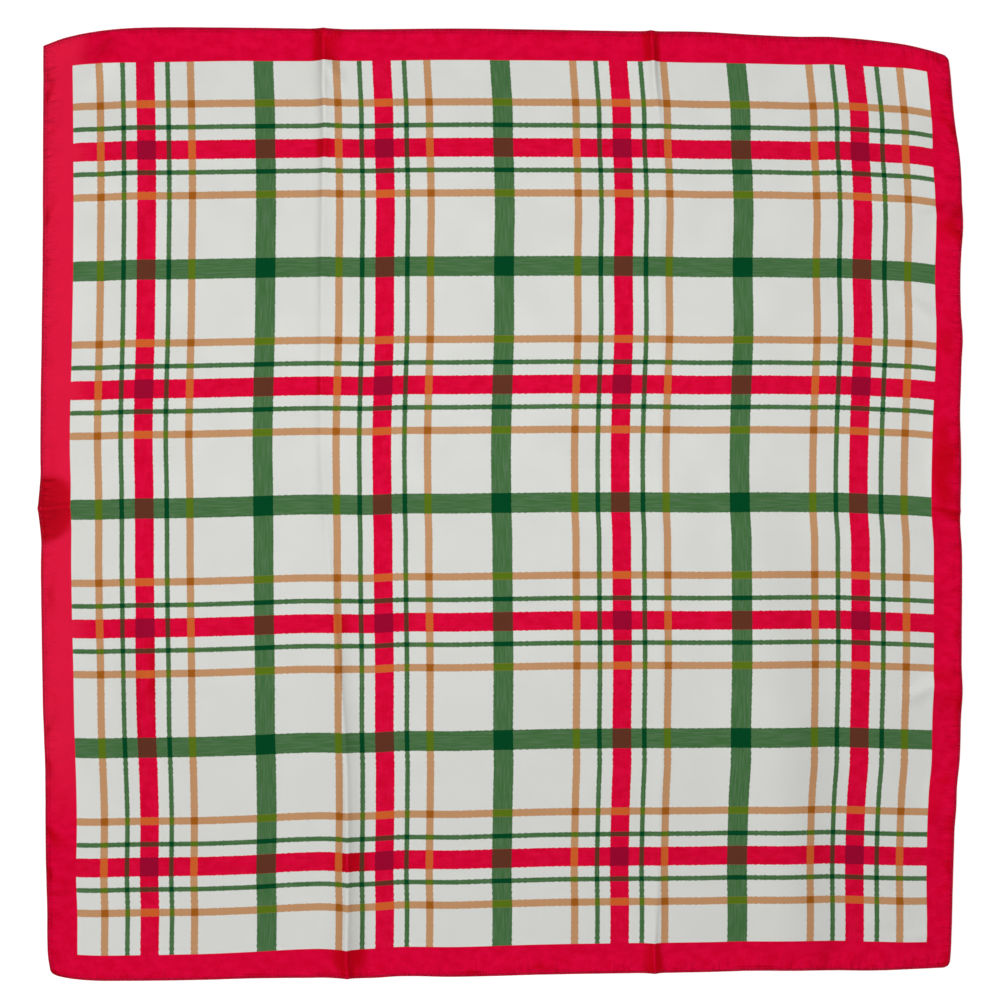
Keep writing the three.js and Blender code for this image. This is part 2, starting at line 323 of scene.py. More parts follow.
# Small tucks, each a short soft ridge. turn is the direction of its crest in degrees from across
# towards along, reach is half its length, and wide is the width of either flank.
TUCKS = [
    {"across": -378, "along": 421, "turn": 67, "reach": 32, "wide": 6, "height": 1.2},
    {"across": -156, "along": 408, "turn": -54, "reach": 24, "wide": 7, "height": 1.5},
    {"across": 405, "along": 284, "turn": 35, "reach": 32, "wide": 8, "height": 1.5},
    {"across": 397, "along": 193, "turn": -33, "reach": 40, "wide": 7, "height": 1.6},
    {"across": 399, "along": -178, "turn": 34, "reach": 32, "wide": 8, "height": 1.8},
    {"across": 381, "along": -388, "turn": 4, "reach": 28, "wide": 6, "height": 0.9},
    {"across": 374, "along": -402, "turn": -2, "reach": 24, "wide": 5.5, "height": 0.8},
    {"across": 403, "along": -418, "turn": 10, "reach": 28, "wide": 6, "height": 0.9},
    {"across": 417, "along": -397, "turn": 50, "reach": 16, "wide": 5.5, "height": 0.8},
    {"across": 419, "along": -270, "turn": 20, "reach": 20, "wide": 7, "height": 1.0},
    {"across": 413, "along": -326, "turn": 85, "reach": 52, "wide": 7, "height": 0.7},
    {"across": -358, "along": -120, "turn": 80, "reach": 18, "wide": 6, "height": 1.0},
    {"across": -333, "along": -163, "turn": 83, "reach": 26, "wide": 8, "height": 1.2},
    {"across": -126, "along": -432, "turn": 3, "reach": 36, "wide": 5.5, "height": 0.7},
]

# Seeded unevenness: faint swells all over, and the hem's own puckers, which fade out inwards. The
# waves of each vary in length between the two shares of the wavelength.
RIPPLES = [
    {"wavelength": 150, "height": 0.7, "seed": 4},
    {"wavelength": 62, "height": 0.25, "seed": 11},
]
PUCKERS = [
    {"wavelength": 36, "height": 1.3, "seed": 21},
    {"wavelength": 17, "height": 0.6, "seed": 34},
]
PUCKER_REACH = 28.0
PUCKER_PULL = 0.4
WAVES_IN_A_RIPPLE = 9
WAVE_SPREAD = (0.7, 1.5)
OUTLINE_SAMPLES = 400

# The grid of the surface: its lines stand close along the hems and beside the creases
HEM_LINES = [0, 0.3, 0.7, 1.2, 1.7, 2.2, 3.3, 4.0, 4.5, 5.5, 7.5, 10.5, 14.5]
FLAT_STEP = 5.5
CREASE_STEP = 2.0
LEFT_CREASE_REACH = 46
RIGHT_CREASE_REACH = 24
HALF_CREASE_REACH = 50
HALF_CREASE_STEP = 2.5

# The hem's running stitches. Each row of the path is a ring round the thread: its place along the
# stitch from the middle, how far it stands above the cloth, and its radius.
STITCH_INSET = 1.7
STITCH_PITCH = 2.5
STITCH_SHIFT = 0.12
STITCH_SIDES = 6
STITCH_SEED = 7
STITCH_PATH = [
    {"place": -0.95, "above": -0.06, "radius": 0.08},
    {"place": -0.55, "above": 0.10, "radius": 0.17},
    {"place": 0.55, "above": 0.10, "radius": 0.17},
    {"place": 0.95, "above": -0.06, "radius": 0.08},
]

# The hem's fine relief and painted shade: gathers across it, dimples between the stitches with painted
# shade in their needle holes, and a painted dark line of shade along its rolled edge
GATHER_LENGTH = 5.0
GATHER_REACH = 20.0
GATHER_HEIGHT = 1.8
DIMPLE_REACH = 1.0
DIMPLE_DEPTH = 0.2
RIM_WIDTH = 0.9
RIM_PAINTED_SHADE = 0.75
HOLE_PAINTED_SHADE = 0.8

# The print: a plain border round a plaid that repeats the same way across and along. at is a
# band's distance from the middle of the repeat, and the other half of the repeat mirrors it.
PRINT_WIDTH = 820.0
PRINT_LENGTH = 848.0
REPEAT = 227.0
BANDS = [
    {"ink": "green", "at": 0.0, "wide": 19.0},
    {"ink": "tan", "at": 70.0, "wide": 7.0},
    {"ink": "green", "at": 92.0, "wide": 4.5},
    {"ink": "crimson", "at": REPEAT / 2, "wide": 18.0},
]

# The bands' edges and strokes: how far they wander and are ragged, and how thin a dry brush leaves
# the ink. Each set of bands reads its own row of the noise, and its ragged edges a row beside that.
INK_BLEED = 0.35
WOBBLE = 0.8
WOBBLE_LENGTH = 150.0
RAGGEDNESS = 1.6
RAGGED_LENGTH = 3.0
DRY_BRUSH = {"green": 0.94, "crimson": 0.995}
BRUSH_WIDTH = 1.6
BRUSH_LENGTH = 22.0
BRUSH_CONTRAST = (0.3, 0.8)
STROKE_DETAIL = 3.0
UPRIGHT_ROW = 0.0
LEVEL_ROW = 40.0
EDGE_ROW = 5.0

# Inks, as 8-bit screen colours
CREAM = (226, 227, 222)
DEEP_CRIMSON = (220, 0, 50)
PALE_CRIMSON = (230, 6, 62)
# Painted sheen: the paler, pinker crimson laid by the left hem
SHEEN_PAINTED_CRIMSON = (232, 26, 66)
# Painted shade: the darker, purer red laid where the cloth leans
SLOPE_SHADED_CRIMSON = (196, 0, 8)
INKS = {
    "tan": (201, 151, 108),
    "green": (68, 112, 64),
}
CROSSINGS = {
    ("tan", "tan"): (168, 95, 26),
    ("tan", "crimson"): (214, 100, 44),
    ("crimson", "crimson"): (160, 9, 50),
    ("crimson", "green"): (100, 54, 38),
    ("green", "green"): (2, 72, 36),
    ("green", "tan"): (93, 120, 25),
}
BACK_PALENESS = 0.35
# Painted shade: the dark red laid along the hem's rolled edge and in its needle holes
HEM_PAINTED_SHADE = (96, 0, 24)

# The crimson's unevenness: its mottles, the places between which a painted sheen makes it paler and pinker
# by the left hem, and the slopes between which painted shade makes it darker and purer red where the cloth
# leans
MOTTLE_LENGTH = 12.0
MOTTLE_WIDTH = 9.0
MOTTLE_CONTRAST = (0.3, 0.7)
MOTTLE_DETAIL = 4.0
MOTTLE_ROUGHNESS = 0.6
SHEEN_PATCH_ACROSS = (-410.0, -385.0)
SHEEN_PATCH_ALONG = (-330.0, -200.0)
SLOPE_SHADE_START = 0.06
SLOPE_SHADE_FULL = 0.30
SLOPE_SHADE_SHARE = 0.75

# The satin's sheen, with faint clouds in it
SATIN_ROUGHNESS = (0.35, 0.42)
SATIN_SHEEN = 0.5
SATIN_GLOSS = 0.02
CLOUD_SIZE = 35.0
CLOUD_CONTRAST = (0.25, 0.75)
CLOUD_HEIGHT = 0.25

# A satin weave of five: each warp thread floats over four wefts and dips under the fifth, and its
# neighbour's dip lies two wefts further on
THREAD_PITCH = 0.18
FLOAT_LENGTH = 5 * THREAD_PITCH
DIP_STEP = 0.4
DIP_SHARE = 0.16
WEAVE_DEPTH = 0.035

# The sewing thread: its colours, with painted shade in the grooves of its twist, its twist and its dull
# shine
THREAD_RED = (222, 60, 92)
# Painted shade: the darker red laid in the grooves of the thread's twist
THREAD_GROOVE_SHADE = (124, 0, 24)
THREAD_TWIST = 0.12
THREAD_TONE = 0.75
THREAD_RELIEF = 0.03
THREAD_ROUGHNESS = 0.5
THREAD_GLOSS = 0.3

# The photograph's framing: a camera straight above, as wide as the photograph's 944 mm
CAMERA_HEIGHT = 1.2
CAMERA_LENS = 45.8
CAMERA_SENSOR = 36.0
CAMERA_ACROSS = -0.0012
CAMERA_ALONG = 0.0040

# The studio's soft light: how bright its walls and ceiling are, and between which heights of a
# level-to-upright direction, from 0 to 1, the walls turn into the ceiling
HORIZON = 0.328
ZENITH = 0.925
CEILING_EDGE = (0.60, 0.92)

# The two round lamps: where they hang and what they face, in metres, how wide and how strong
LAMPS = [
    {"name": "ceiling", "place": (-0.65, 0.63, 3.0), "faces": (-0.43, 0.4, 0), "wide": 2.8, "watts": 20.5},
    {"name": "side", "place": (-2.0, -2.4, 2.4), "faces": (0, 0, 0), "wide": 1.5, "watts": 13.3},
]

# The white floor, a hair below the cloth so that the two never share a surface
FLOOR_SIZE = 8.0
FLOOR_DEPTH = 0.0003
FLOOR_WHITE = 0.9
FLOOR_ROUGHNESS = 0.9
FLOOR_GLOW = 0.4


# The laid shape of the cloth, in millimetres

def column(rows, name):
    return np.array([row[name] for row in rows], dtype=float)


def through(rows, name, places):
    """Smooth curve through one column of a table, read at many places and level past its ends."""
    at = column(rows, "at")
    values = column(rows, name)
    slopes = np.empty_like(values)
    slopes[1:-1] = (values[2:] - values[:-2]) / (at[2:] - at[:-2])
    slopes[0] = (values[1] - values[0]) / (at[1] - at[0])
    slopes[-1] = (values[-1] - values[-2]) / (at[-1] - at[-2])
    places = np.clip(places, at[0], at[-1])
    to = np.clip(np.searchsorted(at, places), 1, len(at) - 1)
    start = to - 1
    span = at[to] - at[start]
    t = (places - at[start]) / span
    eased = t * t * (3 - 2 * t)
    leaving = t * (1 - t) ** 2 * slopes[start] * span
    arriving = t * t * (t - 1) * slopes[to] * span
    return values[start] * (1 - eased) + values[to] * eased + leaving + arriving


def flank(distance):
    """Cross-section of a swell: 1 on its round crest, and 0 from one flank width outwards."""
    left = np.clip(1 - np.abs(distance), 0, None)
    return left * left * (3 - 2 * left)


def pressed_flank(distance):
    """Cross-section of a crease: 1 on its sharp crest, and 0 from one flank width outwards."""
    return np.clip(1 - np.abs(distance), 0, None) ** 2


def fold_height(rows, place, beside, section):
    """Height of one fold, with the sharper pressed line on its crest."""
    off = beside - through(rows, "crest", place)
    width = np.where(off < 0, through(rows, "before", place), through(rows, "after", place))
    body = np.maximum(through(rows, "height", place), 0) * section(off / width)
    line = through(rows, "pinch", place) * np.clip(1 - np.abs(off) / PINCH_REACH, 0, None)
    return body + line


def rise_height(rise, across, along):
    reach = np.hypot((across - rise["across"]) / rise["wide"], (along - rise["along"]) / rise["long"])
    return rise["height"] * flank(reach)


def tuck_height(tuck, across, along):
    turn = math.radians(tuck["turn"])
    right = across - tuck["across"]
    up = along - tuck["along"]
    lengthwise = right * math.cos(turn) + up * math.sin(turn)
    sideways = up * math.cos(turn) - right * math.sin(turn)
    return tuck["height"] * flank(lengthwise / tuck["reach"]) * flank(sideways / tuck["wide"])


def waves(ripple, across, along):
    """Seeded unevenness from 0 to 1: plane waves of about one length that run every way."""
    chance = np.random.default_rng(ripple["seed"])
    total = np.zeros_like(across)
    for _ in range(WAVES_IN_A_RIPPLE):
        heading = chance.uniform(0, 2 * math.pi)
        number = 2 * math.pi / (ripple["wavelength"] * chance.uniform(*WAVE_SPREAD))
        start = chance.uniform(0, 2 * math.pi)
        forward = across * math.cos(heading) + along * math.sin(heading)
        total += np.sin(forward * number + start)
    return np.clip(0.5 + 0.5 * total / math.sqrt(WAVES_IN_A_RIPPLE), 0, 1)


def from_edge(across, along):
    return np.minimum(HALF_WIDTH - np.abs(across), HALF_LENGTH - np.abs(along))


def pucker(across, along):
    """How far the hem's stitching draws the cloth up into small waves beside it."""
    near = flank(from_edge(across, along) / PUCKER_REACH)
    return near * sum(row["height"] * waves(row, across, along) for row in PUCKERS)


def lift(across, along):
    """How far the underside stands off the table."""
    total = pucker(across, along)
    for rows in CREASES_ALONG:
        total = total + fold_height(rows, along, across, pressed_flank)
    for rows in SWELLS_ALONG:
        total = total + fold_height(rows, along, across, flank)
    for rows in CREASES_ACROSS:
        total = total + fold_height(rows, across, along, pressed_flank)
    for rise in RISES:
        total = total + rise_height(rise, across, along)
    for tuck in TUCKS:
        total = total + tuck_height(tuck, across, along)
    for ripple in RIPPLES:
        total = total + ripple["height"] * waves(ripple, across, along)
    return total


def round_corner(corner, across, along):
    """Draws the places inside one corner's radius in to a quarter circle."""
    radius = corner["radius"]
    side = np.clip((across * corner["side"] - HALF_WIDTH) / radius + 1, 0, 1)
    end = np.clip((along * corner["end"] - HALF_LENGTH) / radius + 1, 0, 1)
    drawn_across = side * (1 - np.sqrt(1 - end ** 2 / 2)) * radius * corner["side"]
    drawn_along = end * (1 - np.sqrt(1 - side ** 2 / 2)) * radius * corner["end"]
    return across - drawn_across, along - drawn_along


def outline_place(across, along):
    """Where a place on the flat cloth lies on the table, before the hem's puckers draw it in."""
    for corner in CORNERS:
        across, along = round_corner(corner, across, along)
    right = (across + HALF_WIDTH) / CLOTH_WIDTH
    up = (along + HALF_LENGTH) / CLOTH_LENGTH
    left_out = through(LEFT_EDGE, "out", along)
    right_out = through(RIGHT_EDGE, "out", along)
    top_out = through(TOP_EDGE, "out", across)
    bottom_out = through(BOTTOM_EDGE, "out", across)
    x = (left_out + right_out) * right - left_out
    y = (bottom_out + top_out) * up - bottom_out
    return x, y


def table_shift():
    """The move that brings the laid outline onto the CAD model's box."""
    steps = np.linspace(-1, 1, OUTLINE_SAMPLES)
    left, _ = outline_place(-HALF_WIDTH + 0 * steps, steps * HALF_LENGTH)
    _, bottom = outline_place(steps * HALF_WIDTH, -HALF_LENGTH + 0 * steps)
    low, _ = CAD_BOX
    return low[0] / MM - left.min(), low[1] / MM - bottom.min()


SHIFT = table_shift()


def underside(across, along):
    """Points of the underside of the laid cloth, in millimetres."""
    x, y = outline_place(across, along)
    drawn = PUCKER_PULL * pucker(across, along)
    x = x - drawn * across / HALF_WIDTH + SHIFT[0]
    y = y - drawn * along / HALF_LENGTH + SHIFT[1]
    return np.stack([x, y, lift(across, along)], axis=-1)


def thickness(across, along):
    inwards = column(HEM_PROFILE, "inwards")
    return np.interp(from_edge(across, along), inwards, column(HEM_PROFILE, "thick"))


# Print coordinates: where a place on the cloth falls in the printed design

def print_place(across, along):
    left = through(LEFT_BORDER, "wide", along) - HALF_WIDTH
    right = HALF_WIDTH - through(RIGHT_BORDER, "wide", along)
    bottom = through(BOTTOM_BORDER, "wide", across) - HALF_LENGTH
    top = HALF_LENGTH - through(TOP_BORDER, "wide", across)
    print_across = ((across - left) / (right - left) - 0.5) * PRINT_WIDTH
    print_along = ((along - bottom) / (top - bottom) - 0.5) * PRINT_LENGTH
    return np.stack([print_across, print_along], axis=-1)


# The grid of the sheet

def even_lines(start, stop, step):
    """Evenly spaced lines from start up to, but without, stop."""
    count = max(1, round((stop - start) / step))
    return list(np.linspace(start, stop, count + 1)[:-1])


def lines_over(half_size, creases):
    """Grid lines from hem to hem, closer beside each crease of (place, reach, step)."""
    inner = half_size - HEM_LINES[-1]
    lines = [gap - half_size for gap in HEM_LINES[:-1]]
    place = -inner
    for crease, reach, step in creases:
        lines += even_lines(place, crease - reach, FLAT_STEP)
        lines += even_lines(crease - reach, crease + reach, step)
        place = crease + reach
    lines += even_lines(place, inner, FLAT_STEP)
    lines += [half_size - gap for gap in reversed(HEM_LINES)]
    return np.array(lines)


def follow(nominal, knots, moved):
    """Moves grid lines so that the line of each knot lies where moved says, and the rest in step."""
    result = 0
    for low, high, to_low, to_high in zip(knots[:-1], knots[1:], moved[:-1], moved[1:]):
        share = (nominal - low) / (high - low)
        last = high == knots[-1]
        inside = (nominal >= low) & ((nominal < high) | last)
        result = np.where(inside, to_low + share * (to_high - to_low), result)
    return result


def grid_places():
    """Across and along places of every grid point, with lines that run on the creases' crests."""
    middle = np.zeros(1)
    left_rest = through(LEFT_CREASE, "crest", middle)[0]
    right_rest = through(RIGHT_CREASE, "crest", middle)[0]
    half_rest = through(HALF_CREASE, "crest", middle)[0]
    upright = lines_over(HALF_WIDTH, [
        (left_rest, LEFT_CREASE_REACH, CREASE_STEP),
        (right_rest, RIGHT_CREASE_REACH, CREASE_STEP),
    ])
    level = lines_over(HALF_LENGTH, [(half_rest, HALF_CREASE_REACH, HALF_CREASE_STEP)])
    nominal_across, nominal_along = np.meshgrid(upright, level)
    across = follow(nominal_across, [-HALF_WIDTH, left_rest, right_rest, HALF_WIDTH], [
        -HALF_WIDTH,
        through(LEFT_CREASE, "crest", nominal_along),
        through(RIGHT_CREASE, "crest", nominal_along),
        HALF_WIDTH,
    ])
    along = follow(nominal_along, [-HALF_LENGTH, half_rest, HALF_LENGTH], [
        -HALF_LENGTH,
        through(HALF_CREASE, "crest", across),
        HALF_LENGTH,
    ])
    return across, along


def sheet_faces(rows, columns):
    """Four-sided faces of a closed sheet: its two sides and the cut edge all round."""
    index = np.arange(rows * columns).reshape(rows, columns)
    top = index + rows * columns
    a, b = index[:-1, :-1], index[:-1, 1:]
    d, c = index[1:, :-1], index[1:, 1:]
    upper = np.stack([a + index.size, b + index.size, c + index.size, d + index.size], axis=-1)
    lower = np.stack([a, d, c, b], axis=-1)
    faces = [upper.reshape(-1, 4), lower.reshape(-1, 4)]
    rims = [(index[0], top[0]), (index[-1][::-1], top[-1][::-1])]
    rims += [(index[::-1, 0], top[::-1, 0]), (index[:, -1], top[:, -1])]
    for low, high in rims:
        faces.append(np.stack([low[:-1], low[1:], high[1:], high[:-1]], axis=-1))
    return np.concatenate(faces)


def new_object(name, points, faces):
    """A smooth-shaded mesh object from points in millimetres."""
    mesh = bpy.data.meshes.new(name)
    mesh.from_pydata((points * MM).tolist(), [], faces)
    mesh.shade_smooth()
    mesh.update()
    thing = bpy.data.objects.new(name, mesh)
    bpy.context.scene.collection.objects.link(thing)
    return thing


def add_map(mesh, name, places):
    """A UV map that holds one pair of millimetres per point, written in metres."""
    corners = np.empty(len(mesh.loops), dtype=np.int32)
    mesh.loops.foreach_get("vertex_index", corners)
    layer = mesh.uv_layers.new(name=name)
    layer.data.foreach_set("uv", (places[corners] * MM).astype(np.float32).ravel())


def make_cloth():
    """The cloth, and the height of its lowest point, which is set down on the table."""
    across, along = grid_places()
    under = underside(across, along)
    rightwards = np.gradient(under, axis=1)
    upwards = np.gradient(under, axis=0)
    normal = np.cross(rightwards, upwards)
    normal /= np.linalg.norm(normal, axis=-1, keepdims=True)
    upper = under + normal * thickness(across, along)[..., None]
    points = np.concatenate([under.reshape(-1, 3), upper.reshape(-1, 3)])
    points[:, 2] -= points[:, 2].min()
    cloth = new_object("scarf_satin", points, sheet_faces(*across.shape).tolist())

    flat = np.stack([across, along], axis=-1).reshape(-1, 2)
    design = print_place(across, along).reshape(-1, 2)
    add_map(cloth.data, "cloth_flat", np.concatenate([flat, flat]))
    add_map(cloth.data, "cloth_print", np.concatenate([design, design]))
    side = np.concatenate([np.ones(across.size), np.zeros(across.size)])
    # lean is how steeply the cloth slopes, and the crimson's painted shade reads it
    lean = np.hypot(normal[..., 0], normal[..., 1]).ravel() / normal[..., 2].ravel()
    for name, values in (("underside", side), ("lean", np.concatenate([lean, lean]))):
        layer = cloth.data.attributes.new(name, "FLOAT", "POINT")
        layer.data.foreach_set("value", values.astype(np.float32))
    return cloth, float(under[..., 2].min())


# The hem's stitches

def stitch_places():
    """Middles of the stitches on all four sides, with the direction that each one runs in."""
    middles = []
    headings = []
    for half_run, half_off, runs_across in (
        (HALF_WIDTH, HALF_LENGTH, True),
        (HALF_LENGTH, HALF_WIDTH, False),
    ):
        on_each_side = int((half_run - STITCH_INSET) / STITCH_PITCH) - 1
        run = np.arange(-on_each_side, on_each_side + 1) * STITCH_PITCH
        for sign in (-1, 1):
            off = np.full_like(run, sign * (half_off - STITCH_INSET))
            middles.append(np.stack([run, off] if runs_across else [off, run], axis=-1))
            headings.append(np.tile([1.0, 0.0] if runs_across else [0.0, 1.0], (len(run), 1)))
    return np.concatenate(middles), np.concatenate(headings)


def make_stitches(ground):
    """All the stitches as one mesh of short rounded threads that dive into the cloth at each end."""
    middles, headings = stitch_places()
    chance = np.random.default_rng(STITCH_SEED)
    middles = middles + chance.uniform(-STITCH_SHIFT, STITCH_SHIFT, middles.shape)
    sideways = np.stack([-headings[:, 1], headings[:, 0]], axis=-1)
    angles = np.arange(STITCH_SIDES) * 2 * math.pi / STITCH_SIDES
    rings = []
    for step in STITCH_PATH:
        flat = middles + headings * step["place"]
        centre = underside(flat[:, 0], flat[:, 1])
        centre[:, 2] += thickness(flat[:, 0], flat[:, 1]) + step["above"] - ground
        ring = np.repeat(centre[:, None, :], STITCH_SIDES, axis=1)
        ring[..., :2] += step["radius"] * np.cos(angles)[None, :, None] * sideways[:, None, :]
        ring[..., 2] += step["radius"] * np.sin(angles)
        rings.append(ring)
    points = np.stack(rings, axis=1)
    count = len(STITCH_PATH) * STITCH_SIDES
    one = np.arange(count).reshape(len(STITCH_PATH), STITCH_SIDES)
    turned = np.roll(one, -1, axis=1)
    bands = np.stack([one[:-1], turned[:-1], turned[1:], one[1:]], axis=-1).reshape(-1, 4)
    every = np.arange(len(middles))[:, None, None] * count
    faces = (bands + every).reshape(-1, 4).tolist()
    for start in range(0, len(middles) * count, count):
        faces.append((one[0][::-1] + start).tolist())
        faces.append((one[-1] + start).tolist())
    return new_object("hem_stitches", points.reshape(-1, 3), faces)


# Materials

def linear(colour):
    """An 8-bit screen colour as the linear colour that Blender works in."""
    parts = []
    for part in colour:
        share = part / 255
        parts.append(share / 12.92 if share <= 0.04045 else ((share + 0.055) / 1.055) ** 2.4)
    return (*parts, 1.0)


class Nodes:
    """Adds nodes to a material's shader in short calls that hand back an output socket."""

    def __init__(self, material):
        self.tree = material.node_tree

    def add(self, kind, **settings):
        node = self.tree.nodes.new(kind)
        for name, value in settings.items():
            setattr(node, name, value)
        return node

    def put(self, socket, value):
        """Feeds a socket from another node's output, or sets it to a plain value."""
        if isinstance(value, bpy.types.NodeSocket):
            self.tree.links.new(value, socket)
        else:
            socket.default_value = value

    def math(self, operation, *values):
        node = self.add("ShaderNodeMath", operation=operation)
        for socket, value in zip(node.inputs, values):
            self.put(socket, value)
        return node.outputs[0]

    def ramp(self, value, start, stop, low, high):
        """Smooth change from low to high while value goes from start to stop."""
        node = self.add("ShaderNodeMapRange", interpolation_type="SMOOTHSTEP")
        for name, part in zip(
            ("Value", "From Min", "From Max", "To Min", "To Max"), (value, start, stop, low, high)
        ):
            self.put(node.inputs[name], part)
        return node.outputs["Result"]

    def pair(self, first, second):
        node = self.add("ShaderNodeCombineXYZ")
        self.put(node.inputs[0], first)
        self.put(node.inputs[1], second)
        return node.outputs[0]

    def noise(self, place, detail=2.0, roughness=0.5):
        """Noise from 0 to 1 over a place whose unit is the size of its features."""
        node = self.add("ShaderNodeTexNoise", noise_dimensions="2D")
        self.put(node.inputs["Vector"], place)
        node.inputs["Scale"].default_value = 1.0
        node.inputs["Detail"].default_value = detail
        node.inputs["Roughness"].default_value = roughness
        return node.outputs[0]

    def mix(self, share, first, second):
        node = self.add("ShaderNodeMix", data_type="RGBA")
        self.put(node.inputs[0], share)
        self.put(node.inputs[6], first)
        self.put(node.inputs[7], second)
        return node.outputs[2]

    def bump(self, height, distance, normal=None):
        """Relief from a height of 0 to 1 that stands for a distance in millimetres."""
        node = self.add("ShaderNodeBump")
        node.inputs["Distance"].default_value = distance * MM
        self.put(node.inputs["Height"], height)
        if normal is not None:
            self.put(node.inputs["Normal"], normal)
        return node.outputs[0]

    def map_millimetres(self, name):
        """Both coordinates of one UV map, in millimetres."""
        source = self.add("ShaderNodeUVMap", uv_map=name)
        parts = self.add("ShaderNodeSeparateXYZ")
        self.put(parts.inputs[0], source.outputs[0])
        return [self.math("DIVIDE", parts.outputs[i], MM) for i in range(2)]


def new_material(name):
    """A node material with nothing but a Principled shader, which it also returns."""
    material = bpy.data.materials.new(name)
    material.use_nodes = True
    shader = material.node_tree.nodes["Principled BSDF"]
    return material, shader, Nodes(material)


def band_masks(nodes, place, run, row):
    """How much of each ink lies at a place, for the bands that run in one direction."""
    sway = nodes.noise(nodes.pair(nodes.math("DIVIDE", run, WOBBLE_LENGTH), row))
    brush = nodes.noise(nodes.pair(
        nodes.math("DIVIDE", place, BRUSH_WIDTH),
        nodes.math("DIVIDE", run, BRUSH_LENGTH),
    ), detail=STROKE_DETAIL)
    edge = nodes.noise(
        nodes.pair(nodes.math("DIVIDE", run, RAGGED_LENGTH), row + EDGE_ROW),
        detail=STROKE_DETAIL,
    )
    swayed = nodes.math("MULTIPLY_ADD", sway, 2 * WOBBLE, place)
    centred = nodes.math("SUBTRACT", swayed, WOBBLE)
    within = nodes.math("PINGPONG", centred, REPEAT / 2)
    masks = {}
    for band in BANDS:
        off = nodes.math("ABSOLUTE", nodes.math("SUBTRACT", within, band["at"]))
        ragged = nodes.math("MULTIPLY_ADD", edge, RAGGEDNESS, off)
        half = band["wide"] / 2 + RAGGEDNESS / 2
        mask = nodes.ramp(ragged, half - INK_BLEED, half + INK_BLEED, 1.0, 0.0)
        known = masks.get(band["ink"])
        masks[band["ink"]] = mask if known is None else nodes.math("MAXIMUM", known, mask)
    return masks, brush


def plaid_colour(nodes, place, run, crimson):
    """The printed plaid: bands along, bands across, and a darker mix where two inks cross."""
    upright, upright_brush = band_masks(nodes, place, run, UPRIGHT_ROW)
    level, level_brush = band_masks(nodes, run, place, LEVEL_ROW)
    colour = linear(CREAM)
    for masks, brush in ((upright, upright_brush), (level, level_brush)):
        for ink, mask in masks.items():
            thinnest = DRY_BRUSH.get(ink, 1.0)
            thin = nodes.ramp(brush, *BRUSH_CONTRAST, 1.0, thinnest)
            full = crimson if ink == "crimson" else linear(INKS[ink])
            colour = nodes.mix(nodes.math("MULTIPLY", mask, thin), colour, full)
    for (first, second), mixed in CROSSINGS.items():
        cross = nodes.math("MULTIPLY", upright[first], level[second])
        if first != second:
            other = nodes.math("MULTIPLY", upright[second], level[first])
            cross = nodes.math("MAXIMUM", cross, other)
        colour = nodes.mix(cross, colour, linear(mixed))
    return colour


def border_mask(nodes, place, run):
    past_side = nodes.math("SUBTRACT", nodes.math("ABSOLUTE", place), PRINT_WIDTH / 2)
    past_end = nodes.math("SUBTRACT", nodes.math("ABSOLUTE", run), PRINT_LENGTH / 2)
    return nodes.ramp(nodes.math("MAXIMUM", past_side, past_end), -INK_BLEED, INK_BLEED, 0.0, 1.0)


def weave_height(nodes, across, along):
    thread = nodes.math("DIVIDE", across, THREAD_PITCH)
    number = nodes.math("FLOOR", thread)
    side = nodes.math("SUBTRACT", nodes.math("FRACT", thread), 0.5)
    fall = nodes.math("MULTIPLY", nodes.math("MULTIPLY", side, side), 4.0)
    rounded = nodes.math("SUBTRACT", 1.0, fall)
    length = nodes.math("DIVIDE", along, FLOAT_LENGTH)
    phase = nodes.math("FRACT", nodes.math("MULTIPLY_ADD", number, DIP_STEP, length))
    from_dip = nodes.math("MINIMUM", phase, nodes.math("SUBTRACT", 1.0, phase))
    floating = nodes.ramp(from_dip, 0.0, DIP_SHARE, 0.0, 1.0)
    return nodes.math("MULTIPLY", rounded, floating)


class HemPlace:
    """Where a point lies beside the nearest hem: how far inwards, and how far along its stitches."""

    def __init__(self, nodes, across, along):
        side = nodes.math("SUBTRACT", HALF_WIDTH, nodes.math("ABSOLUTE", across))
        end = nodes.math("SUBTRACT", HALF_LENGTH, nodes.math("ABSOLUTE", along))
        at_end = nodes.math("LESS_THAN", end, side)
        self.inwards = nodes.math("MINIMUM", side, end)
        self.run = nodes.math("MULTIPLY_ADD", nodes.math("SUBTRACT", across, along), at_end, along)
        turn = nodes.math("MULTIPLY", self.run, 2 * math.pi / STITCH_PITCH)
        self.between = nodes.math("MULTIPLY_ADD", nodes.math("COSINE", turn), -0.5, 0.5)


def hem_relief(nodes, hem):
    """Dimples between the stitches and fine gathers on the hem, from 0 to 1."""
    gathers = nodes.noise(nodes.pair(
        nodes.math("DIVIDE", hem.run, GATHER_LENGTH), nodes.math("DIVIDE", hem.inwards, GATHER_REACH)
    ), detail=STROKE_DETAIL)
    near = nodes.ramp(hem.inwards, STITCH_INSET, GATHER_REACH, 1.0, 0.0)
    off_line = nodes.math("ABSOLUTE", nodes.math("SUBTRACT", hem.inwards, STITCH_INSET))
    on_line = nodes.ramp(off_line, 0.0, DIMPLE_REACH, 1.0, 0.0)
    dimples = nodes.math("MULTIPLY", nodes.math("MULTIPLY", hem.between, on_line), DIMPLE_DEPTH)
    return nodes.math("SUBTRACT", nodes.math("MULTIPLY", gathers, near), dimples)


def painted_hem_shade(nodes, hem):
    """Painted shade on the hem: how dark it is drawn along its rolled edge and in the needle holes between
    stitches.
    """
    rim = nodes.ramp(hem.inwards, 0.0, RIM_WIDTH, RIM_PAINTED_SHADE, 0.0)
    off_line = nodes.math("ABSOLUTE", nodes.math("SUBTRACT", hem.inwards, STITCH_INSET))
    on_line = nodes.ramp(off_line, 0.0, DIMPLE_REACH, HOLE_PAINTED_SHADE, 0.0)
    hole_shade = nodes.math("MULTIPLY", hem.between, on_line)
    return nodes.math("MAXIMUM", rim, hole_shade)


